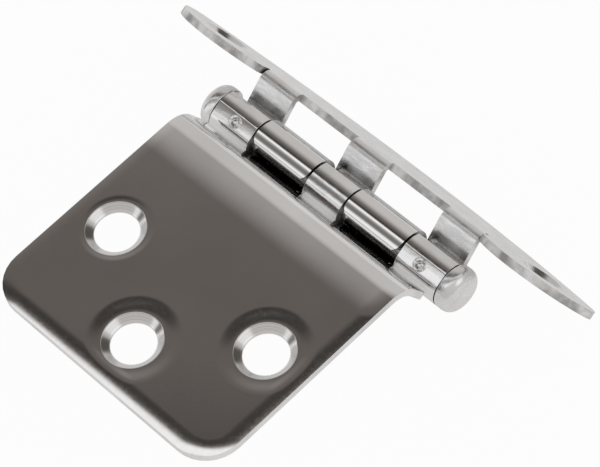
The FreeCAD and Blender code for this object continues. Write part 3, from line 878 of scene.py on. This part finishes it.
@dataclass(frozen=True)
class Pin:
    """The pin with a button head at each end.

    Args:
        shaft: radius of the shaft.
        head_room: gap between the barrel and a head.
        head_round: radius of a head's outer edge.
        head_edge: radius of its inner edge.
        round_parts: parts of the outer edge's arc.
        edge_parts: parts of the inner edge's arc.
        steps: how many times the profile is repeated round the pin.
    """

    shaft: float = 1.97 * MM
    head_room: float = 0.1 * MM
    head_round: float = 1.3 * MM
    head_edge: float = 0.12 * MM
    round_parts: int = 10
    edge_parts: int = 3
    steps: int = 64

    def build(self, materials) -> None:
        """Turns the pin's profile about its axis."""
        inside = BARREL / 2 + self.head_room
        dome_spot = (PIN_END - self.head_round, KNUCKLE - self.head_round)
        edge_spot = (inside + self.head_edge, KNUCKLE - self.head_edge)
        dome = arc_points(dome_spot, self.head_round, 0.0, 90.0, self.round_parts)
        edge = arc_points(edge_spot, self.head_edge, 90.0, 180.0, self.edge_parts)
        half = [(PIN_END, 0.0), *dome, *edge, (inside, self.shaft)]
        profile = half + [(-x, r) for x, r in reversed(half)]
        turned = turned_form([(x, r, 0.0) for x, r in profile], (1, 0, 0), self.steps)
        bmesh.ops.recalc_face_normals(turned, faces=turned.faces)
        bmesh.ops.translate(turned, verts=turned.verts, vec=PIN)
        piece = new_piece("button_pin", turned, [materials[Shine.HEAD]])
        piece.modifiers.new("even_normals", "WEIGHTED_NORMAL")
        hand_over(piece, "pin", "frame")


@dataclass(frozen=True)
class StakeMark:
    """A ring with a small bump in it, punched into an outer knuckle.

    Args:
        place: where it is along the pin.
        angle: where it is round the pin, in degrees from +Y towards +Z.
        radius: its outer radius.
        rise: about how high its ring stands.
        profile: its section from the middle out, in shares of the radius and of the rise.
        steps: how many times the section is repeated round it.
    """

    place: float
    angle: float = 118.8
    radius: float = 0.95 * MM
    rise: float = 0.05 * MM
    profile: tuple[tuple[float, float], ...] = ((0.0, 1.6), (0.25, 1.4), (0.45, 0.4), (0.62, -1.0),
                                                (0.78, 0.5), (0.9, 0.7), (1.0, -3.0))
    steps: int = 40

    def build(self, name: str, materials) -> None:
        """Turns the mark's profile and seats it on the knuckle."""
        points = [(out * self.radius, 0.0, up * self.rise) for out, up in self.profile]
        turned = turned_form(points, (0, 0, 1), self.steps)
        for vert in turned.verts:
            vert.co.z += math.sqrt(KNUCKLE ** 2 - vert.co.y ** 2)
        bmesh.ops.recalc_face_normals(turned, faces=turned.faces)
        lean = Matrix.Rotation(math.radians(self.angle - 90.0), 4, "X")
        bmesh.ops.transform(turned, matrix=Matrix.Translation((self.place, PIN_Y, PIN_Z)) @ lean,
                            verts=turned.verts)
        piece = new_piece(name, turned, [materials[Shine.SINK]])
        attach(piece, "frame")
        LOG.info("%s rides on frame", name)


def camera() -> None:
    """The photograph's viewpoint."""
    data = bpy.data.cameras.new("camera")
    data.sensor_width = CAMERA_SENSOR
    data.lens = CAMERA_LENS
    data.clip_start, data.clip_end = CAMERA_CLIP
    body = bpy.data.objects.new("camera", data)
    body.location = CAMERA_PLACE
    look = (CAMERA_AIM - CAMERA_PLACE).to_track_quat("-Z", "Y")
    body.rotation_mode = "QUATERNION"
    body.rotation_quaternion = look @ Quaternion((0, 0, 1), math.radians(CAMERA_ROLL))
    bpy.context.scene.collection.objects.link(body)
    bpy.context.scene.camera = body


def floor() -> None:
    """A white floor under the object that keeps a faint shadow."""
    low = CAD_BOX[0].z - FLOOR_GAP
    mesh = bpy.data.meshes.new("floor")
    plane = bmesh.new()
    bmesh.ops.create_grid(plane, x_segments=1, y_segments=1, size=FLOOR_REACH)
    bmesh.ops.translate(plane, verts=plane.verts, vec=(0, 0, low))
    plane.to_mesh(mesh)
    plane.free()
    material = bpy.data.materials.new("floor")
    material.use_nodes = True
    graph = Graph(material.node_tree)
    material.node_tree.nodes.clear()
    paint = graph.add("ShaderNodeBsdfDiffuse")
    paint.inputs["Color"].default_value = (FLOOR_PAINT, FLOOR_PAINT, FLOOR_PAINT, 1.0)
    glow = graph.add("ShaderNodeEmission")
    path = graph.add("ShaderNodeLightPath")
    seen = graph.maths("MULTIPLY", path.outputs["Is Camera Ray"], FLOOR_SEEN)
    mirrored = graph.maths("MULTIPLY", path.outputs["Is Glossy Ray"], FLOOR_MIRRORED)
    share = graph.maths("MAXIMUM", seen, mirrored)
    mix = graph.add("ShaderNodeMixShader")
    graph.link(share, mix.inputs["Fac"])
    graph.link(paint.outputs["BSDF"], mix.inputs[1])
    graph.link(glow.outputs["Emission"], mix.inputs[2])
    output = graph.add("ShaderNodeOutputMaterial")
    graph.link(mix.outputs["Shader"], output.inputs["Surface"])
    mesh.materials.append(material)
    plane_object = bpy.data.objects.new("floor", mesh)
    bpy.context.scene.collection.objects.link(plane_object)


@dataclass(frozen=True)
class Band:
    """A band of the studio's walls that runs along X.

    Args:
        at: its middle, as the Y part of the direction at the mirrored view.
        core: half its width.
        fade: where it has faded out, from its middle.
        colour: its colour.
        reach: how far it reaches either way from the mirrored view, as the X part.
    """

    at: float
    core: float
    fade: float
    colour: tuple[float, float, float]
    reach: float = 2.0


# The studio that the metal mirrors, in parts of a direction: the X part of the mirrored view, the Z
# parts between which the bands fade at the horizon, the share of a band's reach at which its end
# begins to fade, and how near to a spot's direction the spot begins and is full.
MIRRORED_X = -0.46
HORIZON = (-0.05, 0.10)
END_FADE = 0.5
SPOT_EDGE = (0.90, 0.97)
WALL = (0.595, 0.577, 0.563)
BANDS = (
    Band(0.19, 0.09, 0.52, (0.134, 0.119, 0.109), 0.45),
    Band(-0.34, 0.09, 0.18, (0.20, 0.193, 0.186), 0.9),
    Band(0.155, 0.02, 0.10, (0.05, 0.046, 0.043), 0.45),
    Band(-0.035, 0.045, 0.115, (1.0, 1.0, 1.0), 0.9),
    Band(-0.70, 0.13, 0.21, (0.98, 0.985, 1.0), 0.9),
)
SPOTS = (
    (Vector((0.74, 0.32, 0.587)), (1.0, 1.0, 1.0)),
    (Vector((0.18, 0.95, 0.24)), (0.10, 0.09, 0.08)),
)


def world() -> None:
    """A pale studio with dim and white bands, which the polished metal mirrors."""
    room = bpy.data.worlds.new("studio")
    bpy.context.scene.world = room
    room.use_nodes = True
    graph = Graph(room.node_tree)
    room.node_tree.nodes.clear()
    direction = graph.add("ShaderNodeTexCoord").outputs["Generated"]
    split = graph.add("ShaderNodeSeparateXYZ")
    graph.link(direction, split.inputs["Vector"])
    slant = graph.maths("SUBTRACT", split.outputs["X"], MIRRORED_X)
    aside = graph.maths("ABSOLUTE", slant)
    height = graph.maths("SUBTRACT", split.outputs["Y"], slant)
    above = graph.soft_step(split.outputs["Z"], *HORIZON, 0.0, 1.0)
    colour = graph.add("ShaderNodeRGB").outputs["Color"]
    colour.default_value = (*WALL, 1.0)
    for band in BANDS:
        off = graph.maths("ABSOLUTE", graph.maths("SUBTRACT", height, band.at))
        across = graph.soft_step(off, band.core, band.fade, 1.0, 0.0)
        along = graph.soft_step(aside, band.reach * END_FADE, band.reach, 1.0, 0.0)
        share = graph.maths("MULTIPLY", across, along)
        mix = graph.add("ShaderNodeMix", data_type="RGBA")
        graph.link(graph.maths("MULTIPLY", share, above), mix.inputs["Factor"])
        graph.link(colour, mix.inputs["A"])
        mix.inputs["B"].default_value = (*band.colour, 1.0)
        colour = mix.outputs["Result"]
    for toward, shade in SPOTS:
        facing = graph.add("ShaderNodeVectorMath", operation="DOT_PRODUCT")
        graph.link(direction, facing.inputs[0])
        facing.inputs[1].default_value = toward.normalized()
        spot = graph.add("ShaderNodeMix", data_type="RGBA")
        graph.link(graph.soft_step(facing.outputs["Value"], *SPOT_EDGE, 0.0, 1.0), spot.inputs["Factor"])
        graph.link(colour, spot.inputs["A"])
        spot.inputs["B"].default_value = (*shade, 1.0)
        colour = spot.outputs["Result"]
    light = graph.add("ShaderNodeBackground")
    graph.link(colour, light.inputs["Color"])
    white = graph.add("ShaderNodeBackground")
    path = graph.add("ShaderNodeLightPath")
    mix = graph.add("ShaderNodeMixShader")
    graph.link(path.outputs["Is Camera Ray"], mix.inputs["Fac"])
    graph.link(light.outputs["Background"], mix.inputs[1])
    graph.link(white.outputs["Background"], mix.inputs[2])
    output = graph.add("ShaderNodeOutputWorld")
    graph.link(mix.outputs["Shader"], output.inputs["Surface"])


def main() -> None:
    """Builds the pieces, the stage and the camera."""
    scene = bpy.context.scene
    scene.view_settings.view_transform = "Standard"
    materials = {shine: metal_material(shine) for shine in Shine}
    DoorLeaf().build(materials)
    FrameLeaf().build(materials)
    Pin().build(materials)
    for name, place in (("stake_left", -STAKE_PLACE), ("stake_right", STAKE_PLACE)):
        StakeMark(place).build(name, materials)
    floor()
    world()
    camera()
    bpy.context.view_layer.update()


if __name__ == "__main__":
    main()
